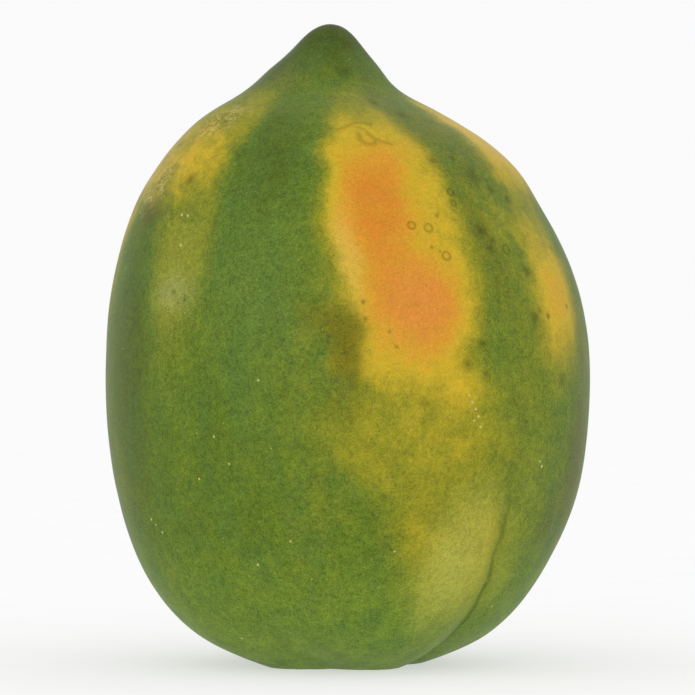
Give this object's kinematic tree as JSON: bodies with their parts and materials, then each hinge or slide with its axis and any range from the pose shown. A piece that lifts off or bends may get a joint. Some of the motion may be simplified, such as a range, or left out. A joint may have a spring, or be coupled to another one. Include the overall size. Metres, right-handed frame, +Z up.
{
  "type": "papaya",
  "caption": "Whole ripening papaya standing on its lobed stem end, with a pointed blossom tip up, green skin and yellow to orange streaks.",
  "frame": {"origin": "middle of the fruit's box, on the surface it stands on", "axes": "+Z up along the fruit's length, from the stem end to the blossom tip; -Y faces the side with the widest orange streak"},
  "size_m": [0.142, 0.142, 0.188],
  "materials": {
    "papaya_skin": "waxy green fruit skin, low sheen, ripening to yellow and orange along the lobes"
  },
  "bodies": {
    "root": {"papaya": "papaya_skin"}
  },
  "joints": []
}
